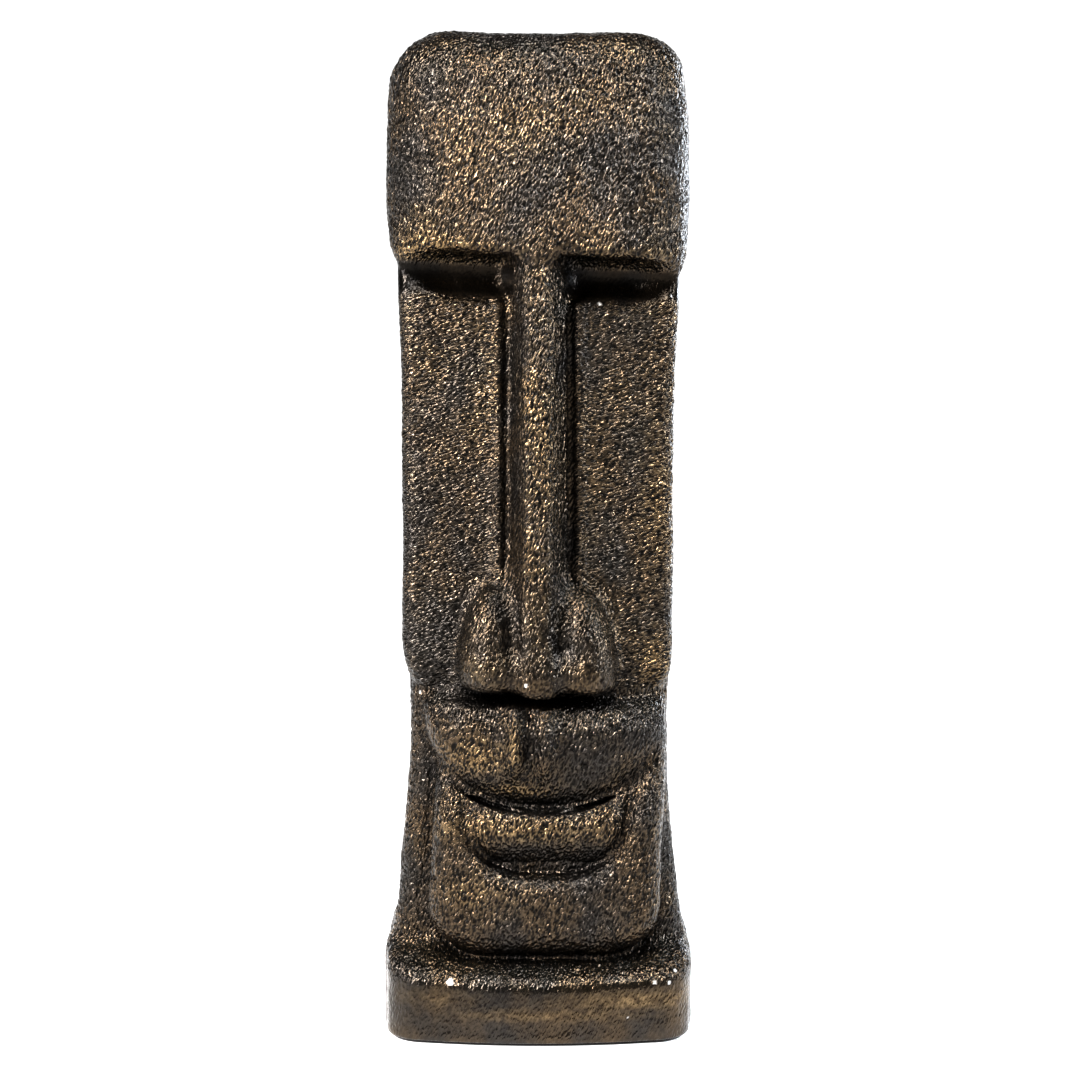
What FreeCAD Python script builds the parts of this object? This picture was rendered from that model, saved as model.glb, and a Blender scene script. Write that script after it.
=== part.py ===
import FreeCAD, Part

# Standing tiki head: a hollow cast figure in two half shells, bonded along a side seam, closed underneath
# by a board with a felt foot. Millimetres, +Z up. The face looks along -Y, +X is on a viewer's right, and
# the origin is the centre of the felt's underside.

import os
from math import cos, pi, radians, sin, tan

Vector = FreeCAD.Vector

# ---- driving dimensions -------------------------------------------------------------------------------
HEIGHT = 757.0          # crown's middle above the floor
WIDTH = 231.0           # across the base
DEPTH = 200.0           # base front to base back
WALL = 13.0             # shell thickness
FELT = 2.0              # felt thickness, and the height of the casting's lower rim
BOARD = 12.0            # closing board thickness
HEAD_TILT = 2.4         # degrees that the hand-made brow and crown fall towards +X
JAW_TILT = 1.5          # the same for the lower edge of the cheeks
JAW_SHIFT = 5.0         # the jaw, lips and chin sit this far towards +X

BASE_CORNER = 30.0      # plan radius of the base's front corners
BASE_BOW = 9.0          # how far the base's front bows out

FRONT = -DEPTH / 2
BACK = DEPTH / 2
SEAM_Y = 12.0           # the plane where the two shells meet

# heights of the carved features
BASE_EDGE = 50.0        # front edge of the base's sloping top
CREASE = 63.0           # where the chin meets the base
CHIN = 105.0
UNDER_LIP = 133.0
MOUTH = 174.0
CHEEK_BOTTOM = 263.0
SOCKET_LOW = 564.0
BROW = 584.0

# half widths
BASE_HALF = WIDTH / 2
NECK_HALF = 98.0
CHEEK_HALF = 102.0
HEAD_HALF = 115.0
JAW_HALF = 87.0
MUZZLE_HALF = 92.0

# how far forward the surfaces stand
NECK_FRONT = -52.0
SOCKET_FRONT = -55.0
CHEEK_FRONT = -66.0
HEAD_FRONT = -90.0
NOSE_ROOT_FRONT = -86.0
NOSE_TIP_FRONT = -98.5
NECK_BACK = 92.0
HEAD_BACK = 97.0
REAR_CORNER = 20.0      # plan radius of the two corners behind

REACH = 300.0           # half size of the cutting boxes


# ---- helpers ------------------------------------------------------------------------------------------
def box(low, high):
    """A box between two corners."""
    low, high = Vector(*low), Vector(*high)
    size = high - low
    return Part.makeBox(size.x, size.y, size.z, low)


def section(z, half, front, back, corner, bow=0.0, tilt=0.0, rear=None):
    """A level outline: straight sides and back, four round corners, and a front bowed out by bow."""
    y0 = front + bow
    rear = corner if rear is None else rear

    def turn(sx, y_edge, sy, radius, start, end):
        bend = radius * (1 - cos(pi / 4))
        middle = Vector(sx * (half - bend), y_edge - sy * bend, z)
        return Part.Arc(start, middle, end).toShape()

    front_left, front_right = Vector(corner - half, y0, z), Vector(half - corner, y0, z)
    right_front, right_back = Vector(half, y0 + corner, z), Vector(half, back - rear, z)
    back_right, back_left = Vector(half - rear, back, z), Vector(rear - half, back, z)
    left_back, left_front = Vector(-half, back - rear, z), Vector(-half, y0 + corner, z)
    straight = Part.makeLine(front_left, front_right)
    bowed = Part.Arc(front_left, Vector(0, front, z), front_right).toShape() if bow else straight
    wire = Part.Wire([
        bowed,
        turn(1, y0, -1, corner, front_right, right_front),
        Part.makeLine(right_front, right_back),
        turn(1, back, 1, rear, right_back, back_right),
        Part.makeLine(back_right, back_left),
        turn(-1, back, 1, rear, back_left, left_back),
        Part.makeLine(left_back, left_front),
        turn(-1, y0, -1, corner, left_front, front_left),
    ])
    if tilt:
        wire.rotate(Vector(0, 0, z), Vector(0, 1, 0), tilt)
    return wire


def stack(levels, ruled=False, rear=None):
    """A solid through level outlines, all with the same rear corners if rear is given."""
    return Part.makeLoft([section(*level, rear=rear) for level in levels], True, ruled)


def ellipsoid(centre, radii, lean=0.0):
    """An ellipsoid sheared forward by lean times the distance below its centre."""
    matrix = FreeCAD.Matrix(
        radii[0], 0, 0, centre[0],
        0, radii[1], lean * radii[2], centre[1],
        0, 0, radii[2], centre[2],
        0, 0, 0, 1,
    )
    return Part.makeSphere(1.0).transformGeometry(matrix)


def prism_x(points, half):
    """Extrudes a smooth front profile of (y, z) points, closed along y = 0, to both sides of x = 0."""
    curve = Part.BSplineCurve()
    nodes = [Vector(-half, y, z) for y, z in points]
    curve.interpolate(nodes)
    rear = [nodes[-1], Vector(-half, 0, nodes[-1].z), Vector(-half, 0, nodes[0].z), nodes[0]]
    wire = Part.Wire([curve.toShape()] + [Part.makeLine(a, b) for a, b in zip(rear, rear[1:])])
    return Part.Face(wire).extrude(Vector(2 * half, 0, 0))


def prism_y(wire, front, back):
    """Extrudes an outline in the XZ plane from y = front to y = back."""
    face = Part.Face(wire)
    face.translate(Vector(0, front, 0))
    return face.extrude(Vector(0, back - front, 0))


def ellipse_xz(centre_x, centre_z, half_width, half_height):
    """A full ellipse in the XZ plane, wider than it is high."""
    curve = Part.Ellipse(Vector(0, 0, 0), half_width, half_height).toShape()
    upright = FreeCAD.Rotation(Vector(1, 0, 0), 90)
    curve.Placement = FreeCAD.Placement(Vector(centre_x, 0, centre_z), upright)
    return Part.Wire([curve])


def tub_xz(half, bottom, top, corner, shift):
    """An upright outline in the XZ plane with two large round corners at the bottom."""
    bend = corner * (1 - cos(pi / 4))
    left, right = shift - half, shift + half
    points = {
        "top_left": Vector(left, 0, top), "left": Vector(left, 0, bottom + corner),
        "low_left": Vector(left + corner, 0, bottom), "low_right": Vector(right - corner, 0, bottom),
        "right": Vector(right, 0, bottom + corner), "top_right": Vector(right, 0, top),
    }
    turn_left = Vector(left + bend, 0, bottom + bend)
    turn_right = Vector(right - bend, 0, bottom + bend)
    return Part.Wire([
        Part.makeLine(points["top_left"], points["left"]),
        Part.Arc(points["left"], turn_left, points["low_left"]).toShape(),
        Part.makeLine(points["low_left"], points["low_right"]),
        Part.Arc(points["low_right"], turn_right, points["right"]).toShape(),
        Part.makeLine(points["right"], points["top_right"]),
        Part.makeLine(points["top_right"], points["top_left"]),
    ])


# ---- the outside of the figure, one function for each carved form --------------------------------------
def base_block():
    """Square base with a bowed front and a top that slopes up to the neck."""
    lip = 4.0
    return stack([
        (FELT, BASE_HALF, FRONT, BACK, BASE_CORNER, BASE_BOW),
        (BASE_EDGE - lip, BASE_HALF, FRONT, BACK, BASE_CORNER, BASE_BOW),
        (BASE_EDGE, BASE_HALF - 1, FRONT + lip, BACK - 1, BASE_CORNER, BASE_BOW),
        (BASE_EDGE + 20, BASE_HALF - 4, NECK_FRONT + 4, NECK_BACK, BASE_CORNER / 2, 1.0),
    ], ruled=True, rear=REAR_CORNER)


def neck():
    """The slab behind the jaw, which flares out to the base in a hollow curve."""
    low, flare_top, high = BASE_EDGE - 5, 250.0, 310.0
    flare = BASE_HALF - 1.5 - NECK_HALF
    corner, bow, steps = 16.0, 3.0, 13
    levels = []
    for k in range(steps + 1):
        z = low + (high - low) * k / steps
        rise = max(0.0, (flare_top - z) / (flare_top - low))
        levels.append((z, NECK_HALF + flare * rise ** 1.9, NECK_FRONT, NECK_BACK, corner, bow))
    return stack(levels, rear=REAR_CORNER)


def cheeks():
    """The two long cheek panels as one slab with rounded lower corners."""
    round_side, round_front, corner, bow, steps = 16.0, 7.0, 9.0, 5.0, 4
    levels = []
    for k in range(steps + 1):
        a = pi / 2 * k / steps
        levels.append((
            CHEEK_BOTTOM + round_side * (1 - cos(a)),
            CHEEK_HALF - round_side * (1 - sin(a)),
            CHEEK_FRONT + round_front * (1 - sin(a)),
            NECK_BACK + 1, corner, bow, JAW_TILT,
        ))
    levels.append((SOCKET_LOW - 60, CHEEK_HALF, CHEEK_FRONT, NECK_BACK + 1, corner, bow, JAW_TILT))
    levels.append((BROW + 20, CHEEK_HALF + 4, CHEEK_FRONT, NECK_BACK + 1, corner, bow, HEAD_TILT))
    return stack(levels, ruled=True, rear=REAR_CORNER)


def head():
    """The forehead block: rounded brow below, barrel sides, rounded crown."""
    corner, bow, steps = 34.0, 8.0, 4
    brow_round, crown_round = 11.0, 27.0
    levels = []
    for k in range(steps + 1):
        a = pi / 2 * k / steps
        inset = brow_round * (1 - sin(a))
        levels.append((BROW + brow_round * (1 - cos(a)), HEAD_HALF - 3 - 0.6 * inset,
                       HEAD_FRONT + inset, HEAD_BACK - 0.5 * inset, corner, bow, HEAD_TILT))
    levels.append((662.0, HEAD_HALF, HEAD_FRONT, HEAD_BACK, corner, bow, HEAD_TILT))
    for k in range(steps + 1):
        a = pi / 2 * k / steps
        inset = crown_round * (1 - cos(a))
        levels.append((HEIGHT - crown_round * (1 - sin(a)), HEAD_HALF - 4 - 1.2 * inset,
                       HEAD_FRONT + 2 + inset, HEAD_BACK - 1 - inset, corner, bow, HEAD_TILT))
    return stack(levels, rear=REAR_CORNER)


def eye_sockets():
    """The grooves between brow and cheeks, one on each side of the nose root."""
    inner, outer, depth = 17.0, CHEEK_HALF + 12, 11.0
    grooves = []
    for side in (-1, 1):
        xs = sorted((side * inner, side * outer))
        groove = box((xs[0], CHEEK_FRONT - 10, SOCKET_LOW), (xs[1], CHEEK_FRONT + depth, BROW + 6))
        groove = groove.makeFillet(9.0, [e for e in groove.Edges if e.BoundBox.YMin > CHEEK_FRONT])
        groove.rotate(Vector(0, 0, (SOCKET_LOW + BROW) / 2), Vector(0, 1, 0), HEAD_TILT)
        grooves.append(groove)
    return grooves


def nose():
    """A long ridge with sloping walls, from the brow down to a broad tip."""
    foot = CHEEK_FRONT + 8
    rows = [
        (CHEEK_BOTTOM + 2, 14.5, 30.0, NOSE_TIP_FRONT + 3),
        (CHEEK_BOTTOM + 9, 14.0, 30.0, NOSE_TIP_FRONT),
        (450.0, 11.3, 26.0, (NOSE_TIP_FRONT + NOSE_ROOT_FRONT) / 2),
        (BROW + 10, 11.0, 23.0, NOSE_ROOT_FRONT),
    ]
    wires = [
        Part.makePolygon([Vector(-b, foot, z), Vector(-a, y, z), Vector(a, y, z), Vector(b, foot, z),
                          Vector(-b, foot, z)])
        for z, a, b, y in rows
    ]
    return Part.makeLoft(wires, True, True)


def nostrils():
    """The two egg-shaped wings beside the tip."""
    floor = box((-REACH, -REACH, -REACH), (REACH, REACH, CHEEK_BOTTOM + 2))
    wings = [ellipsoid((side * 33.0, CHEEK_FRONT, 286.0), (25.0, 24.0, 57.0)) for side in (-1, 1)]
    return [wing.cut(floor) for wing in wings]


def jaw():
    """The tub-shaped jaw and chin, hollowed out round the lower lip."""
    profile = [(-74, CHEEK_BOTTOM + 10), (-75, 215), (-80, 160), (-86.5, UNDER_LIP), (-90, CHIN),
               (-86, 84), (-78, 70), (-62, CREASE - 3)]
    body = prism_x(profile, 140.0)
    body = body.common(prism_y(tub_xz(JAW_HALF, CREASE - 3, CHEEK_BOTTOM + 10, 44.0, JAW_SHIFT), -110, -20))
    rounding = stack([
        (20.0, JAW_HALF, -93.0, 60.0, 26.0, 8.0),
        (CHEEK_BOTTOM + 20, JAW_HALF, -93.0, 60.0, 26.0, 8.0),
    ], ruled=True)
    rounding.translate(Vector(JAW_SHIFT, 0, 0))
    pocket = prism_y(ellipse_xz(JAW_SHIFT, 200.0, 75.0, 69.0), -120, -73)
    return body.common(rounding).cut(pocket)


def muzzle():
    """The domed upper lip, a bowl shape that hangs from the nose to the mouth."""
    dome = ellipsoid((JAW_SHIFT, -30.0, CHEEK_BOTTOM), (132.0, 44.0, 90.0), lean=0.385)
    outline = prism_y(ellipse_xz(JAW_SHIFT, CHEEK_BOTTOM, MUZZLE_HALF, CHEEK_BOTTOM - MOUTH + 2), -120, -30)
    top = box((-REACH, -REACH, CHEEK_BOTTOM + 6), (REACH, REACH, 2 * REACH))
    return dome.common(outline).cut(top)


def lower_lip():
    """A crescent under the mouth line, with its corners turned up."""
    lip = ellipsoid((JAW_SHIFT, -58.0, 205.0), (72.0, 33.0, 66.0))
    above = prism_y(ellipse_xz(JAW_SHIFT, CHEEK_BOTTOM, MUZZLE_HALF, CHEEK_BOTTOM - MOUTH), -120, -20)
    return lip.cut(above)


def figure():
    """The whole outside of the figure as one solid."""
    slab = cheeks()
    for groove in eye_sockets():
        slab = slab.cut(groove)
    whole = neck().fuse([base_block(), slab, head(), nose(), jaw()] + nostrils() + [muzzle(), lower_lip()])
    return whole.removeSplitter()


# ---- the inside ---------------------------------------------------------------------------------------
def cavity(inset=0.0):
    """The hollow of the casting, open at the bottom; inset shrinks it for what lines the wall."""
    wide, narrow = 28.0, 17.0
    base = (BASE_HALF - WALL - 1, FRONT + WALL + 1, BACK - WALL, narrow, BASE_BOW)
    rows = [
        (FELT + BOARD,) + base,
        (BASE_EDGE - WALL,) + base,
        (CREASE, BASE_HALF - WALL - 5, NECK_FRONT + WALL, NECK_BACK - WALL, wide, 0.0),
        (120.0, NECK_HALF - WALL + 4, NECK_FRONT + WALL, NECK_BACK - WALL, wide, 0.0),
        (190.0, NECK_HALF - WALL, NECK_FRONT + WALL, NECK_BACK - WALL, wide, 0.0),
        (CHEEK_BOTTOM + 14, NECK_HALF - WALL, NECK_FRONT + WALL, NECK_BACK - WALL, wide, 0.0),
        (CHEEK_BOTTOM + 30, CHEEK_HALF - WALL, NECK_FRONT + WALL, NECK_BACK - WALL, wide, 0.0),
        (BROW + 10, CHEEK_HALF - WALL, SOCKET_FRONT + WALL, NECK_BACK - WALL, wide, 0.0),
        (BROW + 34, HEAD_HALF - WALL - 4, HEAD_FRONT + WALL + 3, HEAD_BACK - WALL, wide, 0.0),
        (HEIGHT - 50, HEAD_HALF - WALL - 3, HEAD_FRONT + WALL + 3, HEAD_BACK - WALL, wide, 0.0),
        (HEIGHT - WALL - 6 - inset, HEAD_HALF - 35, HEAD_FRONT + 36, HEAD_BACK - 34, wide, 0.0),
    ]
    return stack([
        (z, half - inset, front + inset, back - inset, corner - inset, bow)
        for z, half, front, back, corner, bow in rows
    ], ruled=True)


def board_block(clearance, low, high):
    """An upright block with the outline of the closing board's rebate, less a clearance."""
    rim = 9.0 + clearance
    outline = (BASE_HALF - rim, FRONT + rim, BACK - rim, BASE_CORNER - rim, BASE_BOW)
    return stack([(low,) + outline, (high,) + outline], ruled=True, rear=REAR_CORNER - rim + 2)


BLOCK_X, BLOCK_Y, BLOCK_HEIGHT = 58.0, 44.0, 24.0       # inner corner and height of the corner blocks
SCREW_X, SCREW_Y = 80.0, 66.0
SCREW_R, SCREW_HEAD_R, SCREW_LENGTH = 2.0, 4.0, 32.0
PIN_R, PIN_LENGTH = 3.0, 24.0
BAR_R, BAR_X, BAR_Y = 4.0, 84.0, 78.0
BAR_LOW, BAR_HIGH = 90.0, BROW - 4
STRIP, STRIP_HALF = 2.0, 20.0          # scrim strip thickness, and half its width
PIN_HEIGHTS = (60.0, 170.0, 300.0, 420.0, 530.0, 660.0)
CORNERS = {"front_left": (-1, -1), "front_right": (1, -1), "back_left": (-1, 1), "back_right": (1, 1)}


def pin_places():
    """Where the dowels cross the seam: up both side walls, and two in the crown."""
    places = []
    for z in PIN_HEIGHTS:
        if z < BASE_EDGE + 30:
            x = BASE_HALF - WALL / 2 - 1
        elif z > BROW:
            x = HEAD_HALF - WALL / 2 - 1
        elif z > CHEEK_BOTTOM:
            x = CHEEK_HALF - WALL / 2
        else:
            x = NECK_HALF - WALL / 2 + 2
        places += [(-x, z), (x, z)]
    crown_z = HEIGHT - WALL / 2 - 3
    for x in (-40.0, 40.0):
        places.append((x, crown_z - x * tan(radians(HEAD_TILT))))
    return places


def pins(radius, length):
    """Dowels, or their holes, across the seam."""
    along = Vector(0, 1, 0)
    return [Part.makeCylinder(radius, length, Vector(x, SEAM_Y - length / 2, z), along)
            for x, z in pin_places()]


def bars(radius=BAR_R):
    """The two upright steel bars in the thick rear corners."""
    return [Part.makeCylinder(radius, BAR_HIGH - BAR_LOW, Vector(side * BAR_X, BAR_Y, BAR_LOW))
            for side in (-1, 1)]


def screws(shank, head):
    """Countersunk screws driven up through the board into the corner blocks, or their holes."""
    head_height = head - shank + 0.5
    made = []
    for sx, sy in CORNERS.values():
        foot = Vector(sx * SCREW_X, sy * SCREW_Y, FELT)
        cone = Part.makeCone(head, shank, head_height, foot)
        rod = Part.makeCylinder(shank, SCREW_LENGTH, foot)
        made.append(cone.fuse(rod).removeSplitter())
    return made


def shells():
    """The front and back castings."""
    hollow = cavity()
    body = figure().cut([hollow, board_block(0.0, -5.0, FELT + BOARD)] + pins(PIN_R, PIN_LENGTH + 2) + bars())
    ahead = box((-REACH, -REACH, -REACH), (REACH, SEAM_Y, 3 * REACH))
    return {"front_shell": body.common(ahead), "back_shell": body.cut(ahead)}


def corner_blocks():
    """Wooden blocks bonded into the base's corners for the board's screws."""
    hollow = cavity()
    made = {}
    for name, (sx, sy) in CORNERS.items():
        pilot = Part.makeCylinder(SCREW_R, SCREW_LENGTH, Vector(sx * SCREW_X, sy * SCREW_Y, FELT))
        xs, ys = sorted((sx * BLOCK_X, sx * REACH)), sorted((sy * BLOCK_Y, sy * REACH))
        low, high = (xs[0], ys[0], FELT + BOARD), (xs[1], ys[1], FELT + BOARD + BLOCK_HEIGHT)
        made["corner_block_" + name] = box(low, high).common(hollow).cut(pilot)
    return made


def seam_strips():
    """Fibre scrim strips bedded over the inside of the seam."""
    lining = cavity().cut(cavity(STRIP))
    low, high = 76.0, HEIGHT - 52.0
    across = (SEAM_Y - STRIP_HALF, SEAM_Y + STRIP_HALF)
    spans = {
        "seam_strip_left": ((-REACH, across[0], low), (-60.0, across[1], high)),
        "seam_strip_right": ((60.0, across[0], low), (REACH, across[1], high)),
        "seam_strip_crown": ((-REACH, across[0], high), (REACH, across[1], HEIGHT)),
    }
    return {name: lining.common(box(*corners)) for name, corners in spans.items()}


def base_board():
    """Plywood closing board with countersunk clearance holes."""
    clear = 0.25
    return board_block(0.8, FELT, FELT + BOARD).cut(screws(SCREW_R + clear, SCREW_HEAD_R + clear))


def base_felt():
    """Felt sheet glued over the board and the casting's rim."""
    inset = 5.0
    outline = (BASE_HALF - inset, FRONT + inset, BACK - inset, BASE_CORNER - inset, BASE_BOW)
    return stack([(0.0,) + outline, (FELT,) + outline], ruled=True, rear=REAR_CORNER - inset)


def parts():
    """Every node's shape by name."""
    made = shells()
    made.update(corner_blocks())
    made.update(seam_strips())
    left_bar, right_bar = bars()
    made["reinforcing_bar_left"] = left_bar
    made["reinforcing_bar_right"] = right_bar
    made["seam_pins"] = Part.makeCompound(pins(PIN_R, PIN_LENGTH))
    made["base_board"] = base_board()
    made["base_screws"] = Part.makeCompound(screws(SCREW_R, SCREW_HEAD_R))
    made["base_felt"] = base_felt()
    return made


os.makedirs("parts", exist_ok=True)
for name, shape in parts().items():
    solids = shape.Solids
    print(name, "solids", len(solids), "valid", shape.isValid(), "volume", round(shape.Volume / 1000, 2), "cm3")
    result = solids[0] if len(solids) == 1 else Part.makeCompound(solids)
    result.exportStep("parts/" + name + ".step")
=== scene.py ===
from math import atan2, cos, pi, radians, sin

import bmesh
import bpy
import numpy as np
import openvdb
from mathutils import Matrix, Vector


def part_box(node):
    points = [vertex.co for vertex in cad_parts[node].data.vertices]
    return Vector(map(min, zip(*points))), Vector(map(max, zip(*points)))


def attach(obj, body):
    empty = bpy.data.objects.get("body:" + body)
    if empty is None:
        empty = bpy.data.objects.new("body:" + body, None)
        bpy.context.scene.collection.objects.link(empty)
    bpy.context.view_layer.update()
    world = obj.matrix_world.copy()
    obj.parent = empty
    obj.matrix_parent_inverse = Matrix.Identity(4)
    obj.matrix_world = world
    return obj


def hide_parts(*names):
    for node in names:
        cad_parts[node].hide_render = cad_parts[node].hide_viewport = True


# The standing tiki figure. The two castings are sculpted as one distance field, meshed, roughened and then cut
# apart at the seam of the CAD shells; what lines and closes them keeps its CAD shape. The sculpting is in
# millimetres in the row frame: +Z up, the face along -Y.

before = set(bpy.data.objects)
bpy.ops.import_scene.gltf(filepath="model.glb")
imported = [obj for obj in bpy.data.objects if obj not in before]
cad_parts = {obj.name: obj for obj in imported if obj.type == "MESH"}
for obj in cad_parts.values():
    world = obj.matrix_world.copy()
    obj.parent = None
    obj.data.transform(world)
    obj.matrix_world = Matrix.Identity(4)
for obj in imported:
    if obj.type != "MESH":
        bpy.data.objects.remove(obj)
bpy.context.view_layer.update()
MM = 0.001

# ---- driving dimensions, from the frame -----------------------------------------------------------------
front_low, front_high = (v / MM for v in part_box("front_shell"))
back_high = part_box("back_shell")[1] / MM
board_low, board_high = (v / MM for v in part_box("base_board"))
felt_low, felt_high = (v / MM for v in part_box("base_felt"))

FLOOR = front_low.z                     # lower rim of the casting
CROWN = front_high.z - 3.5              # the crown's middle; one side rises higher
BASE_HALF = (board_high.x - board_low.x) / 2 + 9.8
HEAD_HALF = BASE_HALF - 0.5
FRONT = front_low.y
BACK = back_high.y
SEAM = front_high.y

# heights of the carved features
LEDGE = 50.0            # front edge of the base's sloping top
CREASE = 63.0           # where the chin meets the base
LIP = 163.0
MOUTH = 174.5
MUZZLE_TOP = 257.0      # where the upper lip starts under the nose
WING = 294.0            # middle of the nose's wings
NOSE_FOOT = 264.0
SOCKET = 576.0
BROW = 586.0

# how far forward the surfaces stand
NECK_FRONT = -54.0
PANEL_FRONT = -65.0
HEAD_FRONT = -89.5
NECK_BACK = BACK - 8.0
HEAD_BACK = BACK - 3.0

NECK_HALF = 98.0
PANEL_HALF = 102.0
JAW_SHIFT = 5.0         # the jaw, mouth and chin sit this far to +X
REAR_CORNER = 20        # plan radius of the corners behind

# the mouth: its middle, half its width and how far its ends turn up
MOUTH_MIDDLE = 3
MOUTH_HALF = 56
MOUTH_CURVE = 12.5

VOXEL = 1.15
RNG = np.random.default_rng(7)


# ---- distance field helpers -------------------------------------------------------------------------------
def rounded_and(a, b, r):
    """Intersection of two distances with an edge of radius r."""
    return np.minimum(np.maximum(a, b), -r) + np.hypot(np.maximum(a + r, 0), np.maximum(b + r, 0))


def rounded_or(a, b, r):
    """Union of two distances with a fillet of radius r."""
    return -rounded_and(-a, -b, r)


def smoothstep(t):
    t = np.clip(t, 0.0, 1.0)
    return t * t * (3 - 2 * t)


def hump(t):
    """A smooth hump, 1 at t = 0."""
    return np.exp(-t * t)


def upright(x, y, half, front, back, front_round, rear_round):
    """An upright block's plan distance."""
    d = rounded_and(abs(x) - half, front - y, front_round)
    return rounded_and(d, y - back, rear_round)


def egg(x, y, z, centre, radii):
    """Roughly the distance to an ellipsoid; the centre may vary."""
    k = np.sqrt(((x - centre[0]) / radii[0]) ** 2 + ((y - centre[1]) / radii[1]) ** 2
                + ((z - centre[2]) / radii[2]) ** 2)
    return (k - 1) * min(radii)


# ---- the carved forms ---------------------------------------------------------------------------------------
def base(x, y, z):
    """Square base with a bowed front and a sloping ledge round the chin."""
    bow_depth, bow_half = 9.0, 86
    slope, run, edge_round = 0.45, 42, 9
    bow = bow_depth * np.clip(abs(x) / bow_half, 0, 1) ** 2
    block = upright(x, y, BASE_HALF, FRONT + 1 + bow, BACK - 0.5, 32, REAR_CORNER)
    ledge = (z - LEDGE - slope * np.clip(y - FRONT - 3, 0, run)) * cos(atan2(slope, 1))
    return rounded_and(block, ledge, edge_round)


def neck(x, y, z):
    """The slab behind the jaw, flaring out to the base."""
    flare_top, flare_power = 252, 1.9
    rise = np.clip((flare_top - z) / (flare_top - LEDGE), 0, 1)
    half = NECK_HALF + (BASE_HALF + 0.5 - NECK_HALF) * rise ** flare_power
    front = NECK_FRONT + 3 * (x / NECK_HALF) ** 2
    slab = upright(x, y, half, front, NECK_BACK, 15, REAR_CORNER)
    return np.maximum(slab, z - NOSE_FOOT - 30)


def cheeks(x, y, z):
    """The two long panels, with a rolled inner edge beside each groove."""
    foot_corner, foot_round, roll_width = 40, 8, 5.5
    corner = np.clip((NOSE_FOOT + foot_corner - z) / foot_corner, 0, 1)
    tuck = 14 * (1 - np.sqrt(1 - 0.98 * corner ** 2))
    half = PANEL_HALF - tuck + 4.5 * smoothstep((z - 490) / 100)
    out = abs(x - 0.6)
    groove = 3.0 * hump((out - 21) / roll_width)
    roll = 3.6 * hump((out - 30) / roll_width)
    turn_in = 8.0 * smoothstep((NOSE_FOOT + 22 - z) / 26)
    front = PANEL_FRONT + 3.0 * (x / PANEL_HALF) ** 4 + groove - roll + turn_in
    slab = upright(x, y, half, front, NECK_BACK + 1, 10, REAR_CORNER)
    slab = np.maximum(slab, z - BROW - 20)
    return rounded_and(slab, NOSE_FOOT - z, foot_round)


def head(x, y, z):
    """The forehead block: barrel sides, rolled brow, rounded crown, and a fuller bow on the -X side."""
    side_bulge, middle, brow_round = 4.5, 655, 13
    half = HEAD_HALF - side_bulge * ((z - middle) / 75) ** 2
    bow = 8 + 4.5 * smoothstep(-x / 50)
    front = HEAD_FRONT + bow * (x / 81) ** 2 + 3.0 * ((z - 650) / 80) ** 2
    block = upright(x, y, half, front, HEAD_BACK, 36, 24)
    block = rounded_and(block, BROW - z, brow_round)
    crown = z - CROWN - 3 * smoothstep(x / 70)
    crown_round = 33 - 8 * np.tanh(x / 50)
    return rounded_and(block, crown, crown_round)


def sockets(x, y, z):
    """What is cut away under the brow, deepest beside the nose root and shallower towards the sides."""
    radius, nose_half, join = 17, 15, 6
    d = None
    for side in (-1, 1):
        taper = 6 * smoothstep((side * x - 62) / 36)
        band = np.hypot((y - PANEL_FRONT + 3) * 0.85, z - SOCKET) - radius + taper
        band = rounded_and(band, nose_half - side * x, join)
        pit = egg(x, y, z, (side * 25, PANEL_FRONT + 3, SOCKET), (15, 12, 13))
        band = rounded_or(band, pit, join)
        d = band if d is None else np.minimum(d, band)
    return d


def nose_wing(x, y, z, side):
    """One wing: an egg that leans inwards as it rises, longer above its middle than below."""
    power = 2.1
    centre_x = side * (37.5 - 0.10 * (z - WING))
    height = np.where(z > WING, 51.0, 40.0)
    k = (abs((x - centre_x) / 21.5) ** power + abs((y - PANEL_FRONT) / 30) ** power
         + abs((z - WING) / height) ** power) ** (1 / power)
    return (k - 1) * 20


def nose(x, y, z):
    """A long ridge with sloping walls, two wings and a rounded bar across its foot."""
    low = (BROW - z) / (BROW - NOSE_FOOT)
    top = 9.0 + 1.0 * low
    front = -86 - 12.5 * low
    slope = 0.50 - 0.14 * low
    side = (abs(x + 0.2) - top - slope * (y - front)) / np.hypot(1, slope)
    ridge = rounded_and(side, front - y, 4.5)
    ridge = np.maximum(ridge, z - BROW - 22)
    for wing in (-1, 1):
        ridge = rounded_or(ridge, nose_wing(x, y, z, wing), 12)
    bar = np.hypot(np.maximum(abs(x) - 34, 0), np.hypot(z - 280, (y + 74) * 0.8)) - 16
    ridge = rounded_or(ridge, bar, 9)
    dip = 2.0 * hump(x / 18)
    return rounded_and(ridge, NOSE_FOOT + 1 - dip - z, 6)


def jaw(x, y, z):
    """The tub-shaped jaw: its front stands proud round a pocket that holds the lip."""
    u = x - JAW_SHIFT - 0.05 * np.clip(z - 115, 0, 90)
    half, corner, pocket_floor, proud = 87.0, 46.0, -73.0, 14.5
    outline = rounded_and(abs(u) - half, CREASE - 3 - z, corner)
    under = 10 * smoothstep((86 - z) / 26)
    top = 10 * smoothstep((z - 165) / 45) + 26 * smoothstep((z - 228) / 34)
    face = pocket_floor - proud + under + top + 5 * (u / half) ** 2
    body = rounded_and(outline, face - y, 15)
    widen = 0.4 * np.clip(pocket_floor - y, 0, 20)
    pocket = (superellipse(u, 205 - z, 62, 77, 3) - 1) * 60 - widen
    opening = np.minimum(pocket, muzzle_rim(x, z) - widen / 2)
    body = rounded_and(body, -np.maximum(opening, y - pocket_floor), 6)
    return np.maximum(body, z - NOSE_FOOT - 12)


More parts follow.
